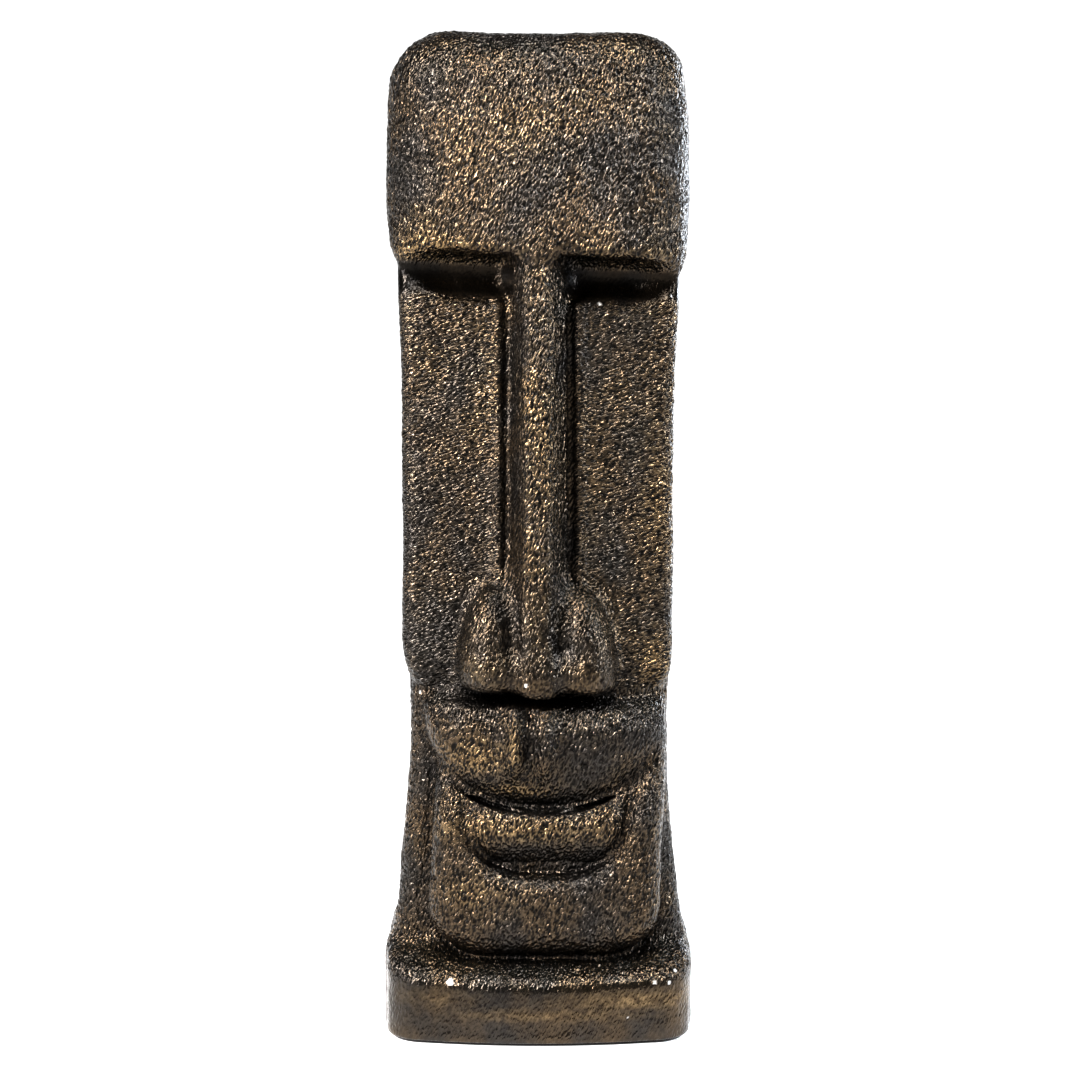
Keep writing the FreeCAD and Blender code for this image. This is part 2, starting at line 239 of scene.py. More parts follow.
def superellipse(u, down, half, drop, power):
    """1 on a bowl outline that hangs from z = down 0; below 1 inside."""
    return ((abs(u) / half) ** power + (np.clip(down, 0, None) / drop) ** power) ** (1 / power)


def muzzle_rim(x, z):
    """Distance in the face's plane from the upper lip's outline."""
    return (superellipse(x - JAW_SHIFT, MUZZLE_TOP - z, 92, 83, 2.3) - 1) * 70


def muzzle(x, y, z):
    """The domed upper lip, with two ridges running down from the nose."""
    fullness, ridge_width = 25, 7.5
    rim = muzzle_rim(x, z)
    k = rim / 70 + 1
    swell = fullness * np.clip(1 - k ** 3.5, 0, 1) ** 0.62
    recess = 6 * smoothstep((z - 236) / 20) + 14 * smoothstep((z - 252) / 12)
    run = smoothstep((z - 192) / 26) * smoothstep((264 - z) / 10)
    ridges = run * (10.0 * hump((x + 18) / ridge_width) + 8.5 * hump((x - 6) / ridge_width))
    face = -64 - swell + recess - ridges
    return np.maximum(rounded_and(rim, face - y, 5), z - NOSE_FOOT - 12)


def lower_lip(x, y, z):
    """A full lip whose ends turn up beside the muzzle."""
    root, fullness, edge_round = -71, 19, 4
    u = x - JAW_SHIFT - 1
    outline = (superellipse(u, 200 - z, 60, 66, 3) - 1) * 55
    across = (LIP - z) / 27
    face = root - fullness * np.clip(1 - across ** 2, 0, 1) ** 0.9 * np.clip(1 - (u / 72) ** 4, 0, 1)
    body = rounded_and(outline, face - y, edge_round)
    return rounded_and(body, z - mouth_line(x), edge_round)


def mouth_line(x):
    """Height of the mouth across the face."""
    return MOUTH + MOUTH_CURVE * (np.clip(x - MOUTH_MIDDLE, -70, 70) / MOUTH_HALF) ** 2


def mouth_cut(x, y, z):
    """The groove of the mouth, deeper towards both ends."""
    t = abs(x - MOUTH_MIDDLE) / MOUTH_HALF
    depth = 11 * smoothstep(t * 1.5) * smoothstep((1.12 - t) / 0.2) - 3
    half = (0.5 + 1.2 * smoothstep(t * 1.2)) * smoothstep((1.1 - t) / 0.3) - 0.4 * (t > 1)
    slope = np.hypot(1, 2 * MOUTH_CURVE * (x - MOUTH_MIDDLE) / MOUTH_HALF ** 2)
    band = abs(z - mouth_line(x)) / slope - half
    floor = y - (-82 + depth + 6 * t ** 2)
    return np.maximum(np.maximum(band, floor), (abs(x - MOUTH_MIDDLE) - 60))


def figure(x, y, z):
    """The whole outside, before it is tilted and roughened."""
    d = rounded_or(cheeks(x, y, z), head(x, y, z), 9)
    d = rounded_and(d, -sockets(x, y, z), 9)
    d = rounded_or(d, nose(x, y, z), 7)
    trunk = rounded_or(base(x, y, z), neck(x, y, z), 9)
    face = rounded_or(jaw(x, y, z), muzzle(x, y, z), 1.5)
    face = rounded_or(face, lower_lip(x, y, z), 9)
    trunk = rounded_or(trunk, face, 4)
    trunk = rounded_and(trunk, -mouth_cut(x, y, z), 1)
    d = rounded_or(d, trunk, 3)
    d = rounded_and(d, y - BACK + 1, 4)
    return rounded_and(d, FLOOR - z, 2.5)


# ---- noise ------------------------------------------------------------------------------------------------
PERMUTATION = RNG.permutation(256).astype(np.int32)
GRADIENTS = RNG.normal(size=(256, 3)).astype(np.float32)
GRADIENTS /= np.linalg.norm(GRADIENTS, axis=1, keepdims=True)


def noise(points, seed=0):
    """Gradient noise, about -1 to 1, at an array of points one unit apart."""
    p = points.astype(np.float32)
    cell = np.floor(p).astype(np.int32)
    f = p - cell
    fade = f * f * f * (f * (f * 6 - 15) + 10)
    total = np.zeros(len(p), np.float32)
    for corner in range(8):
        step = np.array([corner & 1, corner >> 1 & 1, corner >> 2 & 1], np.int32)
        q = cell + step
        key = PERMUTATION[(q[:, 0] + seed) & 255]
        key = PERMUTATION[(key + q[:, 1]) & 255]
        key = PERMUTATION[(key + q[:, 2]) & 255]
        weight = np.prod(np.where(step, fade, 1 - fade), axis=1)
        total += weight * np.einsum("ij,ij->i", GRADIENTS[key], f - step)
    return total * 1.6


def layered(points, octaves, seed=0):
    """Noise with finer layers added."""
    total = sum(noise(points * 2 ** k, seed + 17 * k) / 2 ** k for k in range(octaves))
    return total / (2 - 2 ** (1 - octaves))


# ---- from field to mesh --------------------------------------------------------------------------------------
def field_mesh():
    """Vertices and quads of the figure's outside, in millimetres."""
    margin = 3 * VOXEL
    low = np.array([-BASE_HALF - 6, FRONT - 3, FLOOR - 2]) - margin
    high = np.array([BASE_HALF + 6, BACK + 3, CROWN + 2]) + margin
    count = np.ceil((high - low) / VOXEL).astype(int)
    axes = [(low[i] + VOXEL * np.arange(count[i])).astype(np.float32) for i in range(3)]
    x, y, z = np.meshgrid(*axes, indexing="ij", sparse=True)
    distance = np.clip(figure(x, y, z), -margin, margin).astype(np.float32)
    grid = openvdb.FloatGrid(margin)
    grid.copyFromArray(distance, tolerance=0.0)
    points, quads = grid.convertToQuads(0.0)
    return points * VOXEL + low, quads


def tilt(v, way=1):
    """The hand-made slope: brow, crown and cheek ends fall towards +X; way -1 takes it out again."""
    angle = 1.5 * smoothstep((v[:, 2] - 215) / 50) + 0.9 * smoothstep((v[:, 2] - 300) / 240)
    out = v.copy()
    out[:, 2] -= way * v[:, 0] * np.tan(np.radians(angle))
    return out


def field_at(v):
    """The field's value at each point."""
    return figure(v[:, 0], v[:, 1], v[:, 2])


def occlusion_shade(v):
    """How closed-in each point of the surface is: 0 in the open, towards 1 deep in a recess; it drives the
    painted shade in recesses.
    """
    p = tilt(v.astype(float), -1)
    slopes = [field_at(p + step) - field_at(p - step) for step in np.eye(3)]
    normals = np.stack(slopes, axis=1)
    normals /= np.maximum(np.linalg.norm(normals, axis=1, keepdims=True), 1e-6)
    total = np.zeros(len(p))
    for reach, weight in ((6, 0.40), (15, 0.35), (32, 0.25)):
        free = field_at(p + normals * reach) / reach
        total += weight * np.clip(1.08 - free, 0, 1.3)
    return np.clip(total, 0, 1)


def wobble(v, normals):
    """Slow unevenness of a shape cut by hand."""
    slow = 1.3 * noise(v / 85, 3) + 0.7 * noise(v / 38, 5) + 0.4 * noise(v / 13, 6)
    keep = smoothstep((v[:, 2] - FLOOR) / 12)
    return v + normals * (slow * keep)[:, None]


def vertex_normals(v, quads):
    a, b, c, d = (v[quads[:, i]] for i in range(4))
    face = np.cross(c - a, d - b)
    normals = np.zeros_like(v)
    for i in range(4):
        np.add.at(normals, quads[:, i], face)
    return normals / np.maximum(np.linalg.norm(normals, axis=1, keepdims=True), 1e-9)


def turned(v, degrees):
    """Points with x and z turned so that u runs along a stroke at that angle in the face's plane."""
    a = radians(degrees)
    u = v[:, 0] * cos(a) + v[:, 2] * sin(a)
    w = -v[:, 0] * sin(a) + v[:, 2] * cos(a)
    return u, w


def strokes(v, degrees, length, width, seed):
    """Ridges of brushed-on mix, length along a direction and width across it."""
    u, w = turned(v, degrees)
    warp = 0.55 * noise(v / 14, seed + 40)
    p = np.stack([u / length, v[:, 1] / width + warp, w / width + warp], axis=1)
    return noise(p, seed)


def grain_regions(v):
    """Weights of the figure's textures: lengthways on panels, upright on the forehead, and how smooth."""
    z, x, y = v[:, 2], v[:, 0], v[:, 1]
    panel = smoothstep((z - 262) / 10) * smoothstep((572 - z) / 14) * smoothstep((abs(x) - 24) / 8)
    lobe = smoothstep((355 - z) / 20) * smoothstep((62 - abs(x)) / 8)
    panel = panel * (1 - lobe)
    groove = smoothstep((z - 330) / 50) * smoothstep((562 - z) / 20) * hump((abs(x) - 20) / 7)
    level = z + 0.04 * x
    socket = smoothstep((level - 557) / 8) * smoothstep((587 - level) / 6) * smoothstep((y + 82) / 6)
    socket = socket * smoothstep((abs(x) - 15) / 5) * smoothstep((-20 - y) / 10)
    base_part = smoothstep((LEDGE + 4 - z) / 10)
    smooth = np.clip(0.35 * groove + 0.85 * socket + 0.75 * base_part + 0.3 * lobe * (z > 266), 0, 0.9)
    return panel, smooth, socket


def grain(v):
    """Height of the surface texture in millimetres."""
    panel, smooth = grain_regions(v)[:2]
    right = smoothstep((v[:, 0] - 5) / 30)
    low = smoothstep((430 - v[:, 2]) / 160)
    level = strokes(v, 6, 4.4, 2.2, 11)
    raked = strokes(v, 27, 4.4, 2.2, 12)
    steep = strokes(v, 68, 4.2, 2.3, 13)
    lumps = noise(v / 2.8, 14)
    rake = np.clip(right + 0.8 * low, 0, 1)
    height = panel * (level * (1 - rake) + raked * rake) + (1 - panel) * (0.75 * steep + 0.25 * lumps)
    slow = 0.8 + 0.5 * noise(v / 30, 15)
    return (0.95 * height * slow + 0.25 * lumps) * (1 - smooth)


def make_object(name, v, faces):
    """A mesh object from vertices in millimetres and quads."""
    me = bpy.data.meshes.new(name)
    me.vertices.add(len(v))
    me.vertices.foreach_set("co", (v * MM).astype(np.float32).ravel())
    me.loops.add(faces.size)
    me.loops.foreach_set("vertex_index", faces.astype(np.int32).ravel())
    me.polygons.add(len(faces))
    me.polygons.foreach_set("loop_start", np.arange(0, faces.size, faces.shape[1], dtype=np.int32))
    me.update(calc_edges=True)
    me.validate()
    o = bpy.data.objects.new(name, me)
    bpy.context.scene.collection.objects.link(o)
    return o


def sculpt():
    """The roughened outside of the figure as one closed object."""
    v, quads = field_mesh()
    quads = quads[:, ::-1]
    v = tilt(v)
    normals = vertex_normals(v, quads)
    v = wobble(v, normals)
    inward = smoothstep((v[:, 2] - FLOOR - 1.5) / 6)
    joint = 0.6 * hump((v[:, 1] - SEAM) / 1.5) * inward
    v = v + normals * (grain(v) * inward - joint)[:, None]
    v[:, 2] = np.maximum(v[:, 2], FLOOR)
    return make_object("figure", v, quads)


# ---- cutting the castings apart --------------------------------------------------------------------------
def boolean(target, cutter, operation):
    mod = target.modifiers.new("cut", "BOOLEAN")
    mod.operation, mod.object, mod.solver = operation, cutter, "MANIFOLD"
    apply_modifiers(target)


def apply_modifiers(o):
    graph = bpy.context.evaluated_depsgraph_get()
    me = bpy.data.meshes.new_from_object(o.evaluated_get(graph))
    o.modifiers.clear()
    o.data = me


def block(name, low, high):
    """A box as a cutter."""
    bm = bmesh.new()
    bmesh.ops.create_cube(bm, size=1.0)
    low, high = Vector(low), Vector(high)
    size = Matrix.Diagonal((*(high - low), 1.0))
    bm.transform(Matrix.Translation((low + high) / 2) @ size)
    me = bpy.data.meshes.new(name)
    bm.transform(Matrix.Scale(MM, 4))
    bm.to_mesh(me)
    bm.free()
    o = bpy.data.objects.new(name, me)
    bpy.context.scene.collection.objects.link(o)
    return o


def welded(node):
    """A copy of a CAD node's mesh with its vertices joined."""
    bm = bmesh.new()
    bm.from_mesh(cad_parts[node].data)
    bmesh.ops.remove_doubles(bm, verts=bm.verts, dist=1e-6)
    me = bpy.data.meshes.new(node)
    bm.to_mesh(me)
    bm.free()
    o = bpy.data.objects.new(node + "_copy", me)
    bpy.context.scene.collection.objects.link(o)
    return o


def keep_enclosed(o, low):
    """Removes the piece of o that reaches the outer box, and leaves the hollow and the blind holes."""
    bm = bmesh.new()
    bm.from_mesh(o.data)
    bm.verts.ensure_lookup_table()
    seen = set()
    for start in bm.verts:
        if start.index in seen:
            continue
        island, queue = [], [start]
        seen.add(start.index)
        while queue:
            v = queue.pop()
            island.append(v)
            for e in v.link_edges:
                w = e.other_vert(v)
                if w.index not in seen:
                    seen.add(w.index)
                    queue.append(w)
        if min(v.co.x for v in island) < (low[0] + 1) * MM:
            bmesh.ops.delete(bm, geom=island, context="VERTS")
            break
    bm.to_mesh(o.data)
    bm.free()


def casting(name, whole, node, low, high):
    """One half of the sculpted figure, with the hollow and the holes of its CAD casting."""
    space = block("space", low, high)
    void = block("void", low, high)
    solid = welded(node)
    boolean(void, solid, "DIFFERENCE")
    keep_enclosed(void, low)
    half = bpy.data.objects.new(name, whole.data.copy())
    bpy.context.scene.collection.objects.link(half)
    boolean(half, space, "INTERSECT")
    boolean(half, void, "DIFFERENCE")
    for o in (space, void, solid):
        bpy.data.objects.remove(o)
    half.data.shade_smooth()
    half.data.set_sharp_from_angle(angle=radians(62))
    return half


def castings():
    """The two castings, a hair apart along the seam."""
    whole = sculpt()
    reach, hair = 400.0, 0.01
    floor = FLOOR + hair
    front = casting("front_casting", whole, "front_shell",
                    (-reach, -reach, floor), (reach, SEAM - hair, 2 * reach + 200))
    back = casting("back_casting", whole, "back_shell",
                   (-reach, SEAM + hair, floor), (reach, reach, 2 * reach + 200))
    bpy.data.objects.remove(whole)
    return front, back


def set_attribute(o, name, values):
    """A number on every vertex."""
    o.data.attributes.new(name, "FLOAT", "POINT").data.foreach_set("value", values.astype(np.float32))


def positions(o):
    v = np.empty(len(o.data.vertices) * 3, np.float32)
    o.data.vertices.foreach_get("co", v)
    return v.reshape(-1, 3) / MM


# where the paint is knocked off the front: (x, z, radius)
CHIPS = [
    (-66, 48, 2.6), (88, 47, 1.6), (99, 46, 1.5), (104, 54, 1.2), (46, 556, 1.5), (-90, 262, 1.2), (68, 21, 0.9),
    (-9, 274, 1.5), (100, 562, 1.0),
]
# where bronze is rubbed over the front: (x, z, width, height, strength)
RUBBED = [
    (-70, 596, 42, 9, 1.0), (-40, 300, 14, 26, 0.6), (38, 300, 14, 26, 0.5), (-44, 218, 22, 13, 0.9),
    (-18, 225, 7, 20, 0.7), (-20, 190, 26, 7, 0.8), (-5, 163, 55, 9, 0.9), (70, 34, 50, 7, 0.8),
    (10, 24, 60, 5, 0.6), (-75, 36, 25, 7, 0.5), (92, 420, 16, 60, 0.5), (70, 590, 30, 8, 0.4),
    (0, 420, 12, 150, 0.35), (-20, 680, 40, 30, 0.3), (85, 290, 14, 24, 0.5), (-40, 115, 26, 9, 0.4),
]


def paint_masks(o):
    """Writes on the vertices where the bronze is rubbed on, where painted shade darkens recesses and the eye
    sockets, and where the paint is gone.
    """
    v = positions(o)
    x, y, z = v[:, 0], v[:, 1], v[:, 2]
    front = smoothstep((SEAM - 20 - y) / 30)
    panel, smooth, socket = grain_regions(v)
    rub = np.zeros(len(v), np.float32)
    for px, pz, wide, high, strength in RUBBED:
        rub = np.maximum(rub, strength * hump((x - px) / wide) * hump((z - pz) / high))
    rub = rub * front + 0.25 * smoothstep(layered(v / 60, 2, 60) * 1.5)
    chip = np.zeros(len(v), np.float32)
    edge = 1 + 0.5 * noise(v / 1.6, 33)
    for cx, cz, radius in CHIPS:
        chip = np.maximum(chip, smoothstep((radius * edge - np.hypot(x - cx, z - cz)) / 0.7) * front)
    # painted shade: recesses and the eye sockets under the brow are marked for darkening in the paint colour, and
    # the bronze rub is kept off them
    painted_shade_mask = np.maximum(occlusion_shade(v), 0.8 * socket)
    rub = rub * (1 - smoothstep(painted_shade_mask * 2.2))
    masks = {"occlusion_shade": painted_shade_mask, "rub": np.clip(rub, 0, 1), "chip": chip, "panel": panel, "smooth_part": smooth,
             "height": grain(v)}
    for name, values in masks.items():
        set_attribute(o, name, values)


# ---- materials --------------------------------------------------------------------------------------------
def new_material(name):
    m = bpy.data.materials.new(name)
    m.use_nodes = True
    tree = m.node_tree
    shader = tree.nodes["Principled BSDF"]
    return m, tree, shader


def link(tree, out, socket):
    tree.links.new(out, socket)


def node(tree, kind, **settings):
    n = tree.nodes.new("ShaderNode" + kind)
    for key, value in settings.items():
        setattr(n, key, value)
    return n


def put(tree, socket, value):
    """A link if value is another node's output, otherwise a constant."""
    if isinstance(value, bpy.types.NodeSocket):
        link(tree, value, socket)
    else:
        socket.default_value = value


def object_mm(tree, scale=(1, 1, 1), turn=(0, 0, 0)):
    """Object coordinates in millimetres, stretched and turned."""
    place = node(tree, "TexCoord").outputs["Object"]
    mapping = node(tree, "Mapping", vector_type="TEXTURE")
    mapping.inputs["Scale"].default_value = tuple(MM * s for s in scale)
    mapping.inputs["Rotation"].default_value = tuple(radians(a) for a in turn)
    link(tree, place, mapping.inputs["Vector"])
    return mapping.outputs["Vector"]


def noise_node(tree, vector, detail=2.0, rough=0.5, distortion=0.0):
    n = node(tree, "TexNoise")
    n.inputs["Scale"].default_value = 1.0
    n.inputs["Detail"].default_value = detail
    n.inputs["Roughness"].default_value = rough
    n.inputs["Distortion"].default_value = distortion
    link(tree, vector, n.inputs["Vector"])
    return n.outputs["Fac"]


def ramp(tree, value, stops, smooth=True):
    """A colour or grey ramp through (place, colour) stops."""
    n = node(tree, "ValToRGB")
    r = n.color_ramp
    r.interpolation = "EASE" if smooth else "LINEAR"
    while len(r.elements) < len(stops):
        r.elements.new(0.5)
    for element, (place, colour) in zip(r.elements, stops):
        element.position = place
        element.color = (*colour, 1) if hasattr(colour, "__len__") else (colour, colour, colour, 1)
    put(tree, n.inputs["Fac"], value)
    return n.outputs["Color"]


def mix(tree, factor, a, b, blend="MIX"):
    n = node(tree, "Mix", data_type="RGBA", blend_type=blend)
    put(tree, n.inputs[0], factor)
    for socket, value in ((n.inputs[6], a), (n.inputs[7], b)):
        put(tree, socket, (*value, 1) if isinstance(value, tuple) and len(value) == 3 else value)
    return n.outputs[2]


def maths(tree, operation, a, b=0.0, clamp=False):
    n = node(tree, "Math", operation=operation, use_clamp=clamp)
    put(tree, n.inputs[0], a)
    put(tree, n.inputs[1], b)
    return n.outputs[0]


def attribute(tree, name):
    return node(tree, "Attribute", attribute_name=name).outputs["Fac"]


def bump(tree, shader, height, distance, strength=1.0):
    n = node(tree, "Bump")
    n.inputs["Distance"].default_value = distance
    n.inputs["Strength"].default_value = strength
    put(tree, n.inputs["Height"], height)
    link(tree, n.outputs["Normal"], shader.inputs["Normal"])


def casting_material():
    """Near-black brown paint over a white casting, with bronze wiped over its high spots; painted shade darkens
    its recesses and, together with dark paint, the grain's pits.
    """
    m, tree, shader = new_material("painted_casting")
    panel, smooth = attribute(tree, "panel"), attribute(tree, "smooth_part")
    chip = attribute(tree, "chip")
    level = noise_node(tree, object_mm(tree, (3.4, 2.4, 1.5), (0, -18, 0)), 0.4, 0.5, 0.35)
    steep = noise_node(tree, object_mm(tree, (1.5, 2.4, 3.4), (0, 20, 0)), 0.4, 0.5, 0.35)
    fine = mix(tree, panel, steep, level)
    strength = maths(tree, "SUBTRACT", 1.0, maths(tree, "MULTIPLY", smooth, 0.9))
    height = maths(tree, "MULTIPLY", fine, strength)

    ridge = maths(tree, "MULTIPLY", attribute(tree, "height"), 0.16)
    crest = ramp(tree, maths(tree, "ADD", ridge, fine), ((0.34, 0.0), (0.66, 1.0)))
    crest = mix(tree, smooth, crest, (0.55, 0.55, 0.55))
    tone = ramp(tree, noise_node(tree, object_mm(tree, (46, 46, 62)), 3.0, 0.55), ((0.38, 0.0), (0.62, 1.0)))
    paint = mix(tree, tone, (0.044, 0.041, 0.039), (0.092, 0.067, 0.044))
    bronze = ramp(tree, noise_node(tree, object_mm(tree, (7, 7, 5)), 3.0, 0.6),
                  ((0.35, (0.14, 0.092, 0.047)), (0.62, (0.36, 0.254, 0.135))))
    # the grain's low spots go near-black: dark paint left in them, deepened as painted shade of the hollows
    pit_paint_and_shade = (0.013, 0.011, 0.009)
    colour = mix(tree, maths(tree, "ADD", attribute(tree, "rub"), 0.05, clamp=True), paint, bronze)
    colour = mix(tree, crest, pit_paint_and_shade, colour)
    # painted shade: the colour is multiplied darker where the surface is closed in, down to 0.28 in the deepest
    # recesses
    painted_shade_factor = ramp(tree, attribute(tree, "occlusion_shade"), ((0.25, 1.0), (0.9, 0.28)))
    colour = mix(tree, 1.0, colour, painted_shade_factor, "MULTIPLY")
    colour = mix(tree, chip, colour, (0.62, 0.60, 0.57))
    link(tree, colour, shader.inputs["Base Color"])
    link(tree, maths(tree, "SUBTRACT", 0.88, chip, clamp=True), shader.inputs["Metallic"])
    rough = ramp(tree, noise_node(tree, object_mm(tree, (9, 9, 9)), 2.0), ((0.3, 0.19), (0.7, 0.27)))
    rough = mix(tree, chip, rough, (0.85, 0.85, 0.85))
    link(tree, rough, shader.inputs["Roughness"])
    bump(tree, shader, height, 2.0 * MM)
    return m


def wood_material(name, early, late, ring, along):
    """Sawn or turned wood with its grain along one axis."""
    m, tree, shader = new_material(name)
    scale = [ring, ring, ring]
    scale[along] = ring * 14
    lines = noise_node(tree, object_mm(tree, scale), 4.0, 0.6, 0.3)
    colour = ramp(tree, lines, ((0.35, late), (0.6, early)))
    link(tree, colour, shader.inputs["Base Color"])
    link(tree, ramp(tree, lines, ((0.3, 0.75), (0.7, 0.55))), shader.inputs["Roughness"])
    bump(tree, shader, lines, 0.25 * MM)
    return m


def plywood_material():
    """Plies seen as stripes on the edges, and a rotary-cut face."""
    m, tree, shader = new_material("plywood")
    place = object_mm(tree)
    split = node(tree, "SeparateXYZ")
    link(tree, place, split.inputs[0])
    ply = maths(tree, "SINE", maths(tree, "MULTIPLY", split.outputs["Z"], 2 * pi / 4.6))
    stripes = maths(tree, "GREATER_THAN", ply, 0.0)
    face = noise_node(tree, object_mm(tree, (4, 60, 30)), 4.0, 0.6, 0.4)
    colour = ramp(tree, face, ((0.35, (0.36, 0.22, 0.12)), (0.62, (0.58, 0.41, 0.24))))
    colour = mix(tree, maths(tree, "MULTIPLY", stripes, 0.25), colour, (0.24, 0.14, 0.075))
    link(tree, colour, shader.inputs["Base Color"])
    shader.inputs["Roughness"].default_value = 0.72
    bump(tree, shader, face, 0.2 * MM)
    return m


def steel_material():
    m, tree, shader = new_material("drawn_steel")
    drawn = noise_node(tree, object_mm(tree, (0.5, 0.5, 18)), 3.0, 0.6)
    rust = ramp(tree, noise_node(tree, object_mm(tree, (9, 9, 9)), 4.0, 0.7), ((0.55, 0.0), (0.75, 1.0)))
    colour = mix(tree, rust, (0.42, 0.42, 0.43), (0.16, 0.07, 0.035))
    link(tree, colour, shader.inputs["Base Color"])
    link(tree, maths(tree, "SUBTRACT", 1.0, rust), shader.inputs["Metallic"])
    link(tree, ramp(tree, drawn, ((0.3, 0.28), (0.7, 0.5))), shader.inputs["Roughness"])
    bump(tree, shader, drawn, 0.08 * MM)
    return m


def scrim_material():
    """Open jute weave set in the casting mix."""
    m, tree, shader = new_material("scrim")
    place = object_mm(tree)
    split = node(tree, "SeparateXYZ")
    link(tree, place, split.inputs[0])
    pitch = 2 * pi / 3.2
    across = maths(tree, "ADD", split.outputs["Z"], split.outputs["X"])
    warp = maths(tree, "SINE", maths(tree, "MULTIPLY", split.outputs["Y"], pitch))
    weft = maths(tree, "SINE", maths(tree, "MULTIPLY", across, pitch))
    yarn = maths(tree, "MAXIMUM", warp, weft)
    fray = noise_node(tree, object_mm(tree, (0.8, 0.8, 0.8)), 3.0, 0.6)
    height = maths(tree, "ADD", yarn, fray)
    mix_white, jute = (0.62, 0.60, 0.55), (0.40, 0.29, 0.16)
    colour = ramp(tree, maths(tree, "MULTIPLY", height, 0.5), ((0.15, mix_white), (0.7, jute)))
    link(tree, colour, shader.inputs["Base Color"])
    link(tree, ramp(tree, fray, ((0.3, 0.95), (0.7, 0.8))), shader.inputs["Roughness"])
    bump(tree, shader, height, 0.5 * MM)
    return m


def felt_material():
    m, tree, shader = new_material("black_felt")
    fibre = noise_node(tree, object_mm(tree, (0.35, 1.1, 0.5), (0, 0, 30)), 4.0, 0.7, 1.2)
    colour = ramp(tree, fibre, ((0.3, (0.006, 0.006, 0.006)), (0.75, (0.026, 0.025, 0.024))))
    link(tree, colour, shader.inputs["Base Color"])
    link(tree, ramp(tree, fibre, ((0.3, 0.98), (0.7, 0.88))), shader.inputs["Roughness"])
    shader.inputs["Sheen Weight"].default_value = 0.35
    bump(tree, shader, fibre, 0.35 * MM)
    return m


# ---- the felt -----------------------------------------------------------------------------------------------
def felt_outline(count):
    """Evenly spaced points round the CAD felt's outline, in order."""
    v = positions(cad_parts["base_felt"])
    rim = np.unique(np.round(v[v[:, 2] > felt_high.z - 0.5, :2], 3), axis=0)
    rim = rim[np.argsort(np.arctan2(rim[:, 1], rim[:, 0]))]
    loop = np.vstack([rim, rim[:1]])
    along = np.concatenate([[0.0], np.cumsum(np.linalg.norm(np.diff(loop, axis=0), axis=1))])
    wanted = np.linspace(0, along[-1], count, endpoint=False)
    return np.column_stack([np.interp(wanted, along, loop[:, k]) for k in (0, 1)])


def felt():
    """The felt sheet: soft rounded edge and slightly uneven thickness."""
    count, rings = 240, 40
    outline = felt_outline(count)
    thick = felt_high.z - felt_low.z
    v, faces = [], []
    profile = [(r / rings, 0.0) for r in range(1, rings + 1)]
    edge = [(1.0, thick * 0.25), (1.002, thick * 0.5), (1.0, thick * 0.78)]
    top = [(r / rings, thick) for r in range(rings, 0, -1)]
    levels = profile + edge + top
    for scale, height in levels:
        ring = outline * min(scale, 0.996 if height in (0.0, thick) and scale == 1.0 else scale)
        v.append(np.column_stack([ring, np.full(count, height)]))
    v = np.concatenate([np.array([[0, 0, 0.0]])] + v + [np.array([[0, 0, thick]])])
    inner = (v[:, 2] > 0.01) & (v[:, 2] < thick + 0.01)
    v[:, 2] -= inner * 0.10 * np.abs(noise(v / 2.5, 70))
    v[:, 2] += felt_low.z
    first, last = 0, len(v) - 1
    ring_of = lambda r: 1 + r * count
    for k in range(count):
        n = (k + 1) % count
        faces.append((first, ring_of(0) + n, ring_of(0) + k))
        faces.append((last, ring_of(len(levels) - 1) + k, ring_of(len(levels) - 1) + n))
    quads = [(ring_of(r) + k, ring_of(r) + (k + 1) % count, ring_of(r + 1) + (k + 1) % count, ring_of(r + 1) + k)
             for r in range(len(levels) - 1) for k in range(count)]
    me = bpy.data.meshes.new("felt_pad")
    me.from_pydata((v * MM).tolist(), [], faces + quads)
    me.validate()
    me.shade_smooth()
    o = bpy.data.objects.new("felt_pad", me)
    bpy.context.scene.collection.objects.link(o)
    x, y = outline[:, 0] * MM, outline[:, 1] * MM
    area = 0.5 * abs(np.dot(x, np.roll(y, -1)) - np.dot(y, np.roll(x, -1)))
    return o, (float(np.ptp(x)), float(np.ptp(y))), float(area)


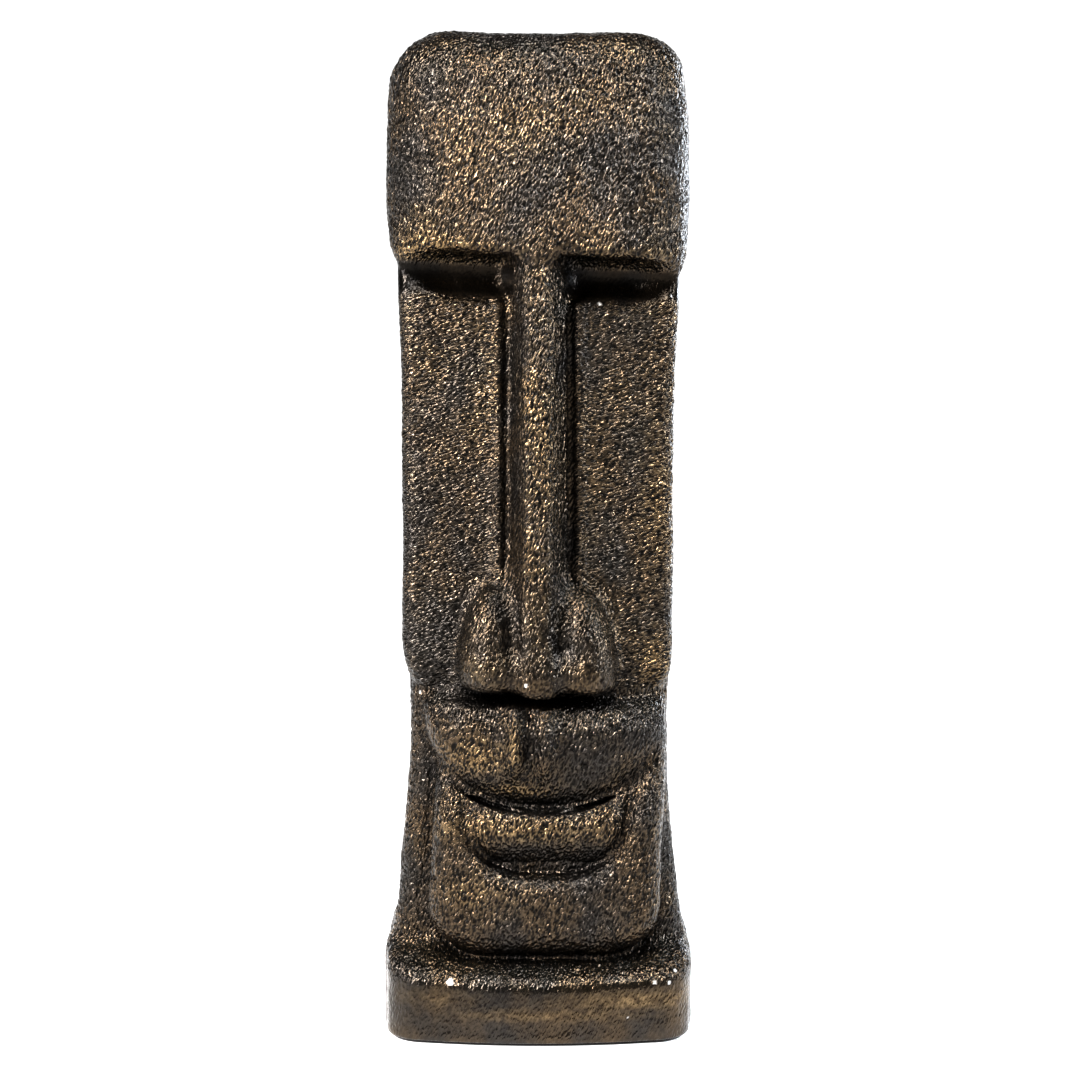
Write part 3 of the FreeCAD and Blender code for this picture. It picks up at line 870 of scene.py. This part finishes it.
# ---- studio ---------------------------------------------------------------------------------------------------
def studio():
    """Pale floor that glows by its own emission into a white surround behind the figure, painted light since the
    floor is no lamp; grey floor with a faint glow far in front, and dim surroundings there.
    """
    bpy.ops.mesh.primitive_plane_add(size=30)
    floor = bpy.context.object
    floor.name = "floor"
    m, tree, shader = new_material("studio_floor")
    speckle = noise_node(tree, object_mm(tree, (400, 400, 400)), 2.0)
    split = node(tree, "SeparateXYZ")
    link(tree, node(tree, "TexCoord").outputs["Object"], split.inputs[0])
    behind = ramp(tree, maths(tree, "ADD", split.outputs["Y"], 0.5), ((0.2, 0.0), (0.42, 1.0)))
    pale = ramp(tree, speckle, ((0.3, (0.80, 0.80, 0.80)), (0.7, (0.84, 0.84, 0.84))))
    link(tree, mix(tree, behind, (0.45, 0.45, 0.45), pale), shader.inputs["Base Color"])
    shader.inputs["Roughness"].default_value = 0.9
    shader.inputs["Specular IOR Level"].default_value = 0.1
    # painted light: the floor's emission glows brightly behind the figure and faintly far in front
    glow = ramp(tree, maths(tree, "ADD", split.outputs["Y"], 0.25), ((0.0, 0.0), (0.3, 0.7), (1.0, 1.0)))
    glow_ahead = ramp(tree, maths(tree, "MULTIPLY", split.outputs["Y"], -0.1), ((0.10, 0.0), (0.5, 0.38)))
    link(tree, maths(tree, "MAXIMUM", glow, glow_ahead), shader.inputs["Emission Color"])
    shader.inputs["Emission Strength"].default_value = 0.9
    floor.data.materials.append(m)

    world = bpy.data.worlds.new("studio")
    world.use_nodes = True
    tree = world.node_tree
    split = node(tree, "SeparateXYZ")
    link(tree, node(tree, "TexCoord").outputs["Generated"], split.inputs[0])
    sky = ramp(tree, split.outputs["Y"], ((0.70, 0.08), (0.9, 1.0)))
    haze = ramp(tree, maths(tree, "ABSOLUTE", split.outputs["Z"]), ((0.04, 0.36), (0.35, 0.08)))
    link(tree, maths(tree, "MAXIMUM", sky, haze), tree.nodes["Background"].inputs["Color"])
    bpy.context.scene.world = world
    view = bpy.context.scene.view_settings
    view.view_transform = "Standard"
    view.exposure, view.gamma = 0.25, 0.8


def soft_light(name, place, target, size, watts, colour):
    lamp = bpy.data.lights.new(name, "AREA")
    lamp.shape = "RECTANGLE"
    lamp.size, lamp.size_y = size
    lamp.energy = watts
    lamp.color = colour
    o = bpy.data.objects.new(name, lamp)
    o.location = place
    o.rotation_euler = (Vector(target) - Vector(place)).to_track_quat("-Z", "Y").to_euler()
    bpy.context.scene.collection.objects.link(o)


def lights():
    soft_light("key", (-1.4, -1.25, 1.75), (0, 0, 0.42), (0.4, 0.9), 112, (1.0, 0.965, 0.93))
    soft_light("side", (-1.6, -0.9, 0.75), (0, 0, 0.45), (0.3, 0.9), 29, (0.97, 0.97, 1.0))
    soft_light("rim", (1.5, -0.35, 0.95), (0, 0, 0.45), (0.25, 1.0), 36, (0.84, 0.91, 1.0))
    soft_light("top", (0.1, -0.6, 1.9), (0, 0, 0.5), (0.8, 0.4), 30, (0.96, 0.98, 1.0))
    soft_light("back", (1.25, 1.5, 0.7), (0, 0, 0.35), (0.3, 1.1), 15, (0.84, 0.91, 1.0))


def camera():
    """The photograph's place: nearly level, straight in front."""
    distance, height, down = 1.9, 0.53, 4.69
    data = bpy.data.cameras.new("camera")
    data.sensor_width = 36.0
    data.lens = 81.63
    o = bpy.data.objects.new("camera", data)
    o.location = (0.0015, -distance, height)
    o.rotation_euler = (radians(90 - down), 0, 0)
    bpy.context.scene.collection.objects.link(o)
    bpy.context.scene.camera = o


# ---- assembly --------------------------------------------------------------------------------------------------
def dress_cad_nodes():
    """Materials of the CAD nodes that keep their own shape."""
    beech = wood_material("beech_dowel", (0.62, 0.44, 0.27), (0.45, 0.29, 0.16), 0.8, 1)
    pine = wood_material("sawn_pine", (0.66, 0.50, 0.30), (0.42, 0.27, 0.13), 2.2, 2)
    looks = {
        "seam_pins": beech, "base_board": plywood_material(), "seam_strip": scrim_material(),
        "reinforcing_bar": steel_material(), "base_screws": bpy.data.materials["drawn_steel"],
        "corner_block": pine,
    }
    for name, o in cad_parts.items():
        for start, material in looks.items():
            if name.startswith(start):
                o.data.materials.clear()
                o.data.materials.append(material)


def build():
    paint = casting_material()
    for o, node_name in zip(castings(), ("front_shell", "back_shell")):
        paint_masks(o)
        o.data.materials.clear()
        o.data.materials.append(paint)
        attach(o, "root")
        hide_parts(node_name)
    pad, flat, area = felt()
    pad.data.materials.append(felt_material())
    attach(pad, "root")
    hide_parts("base_felt")
    dress_cad_nodes()
    studio()
    lights()
    camera()


build()
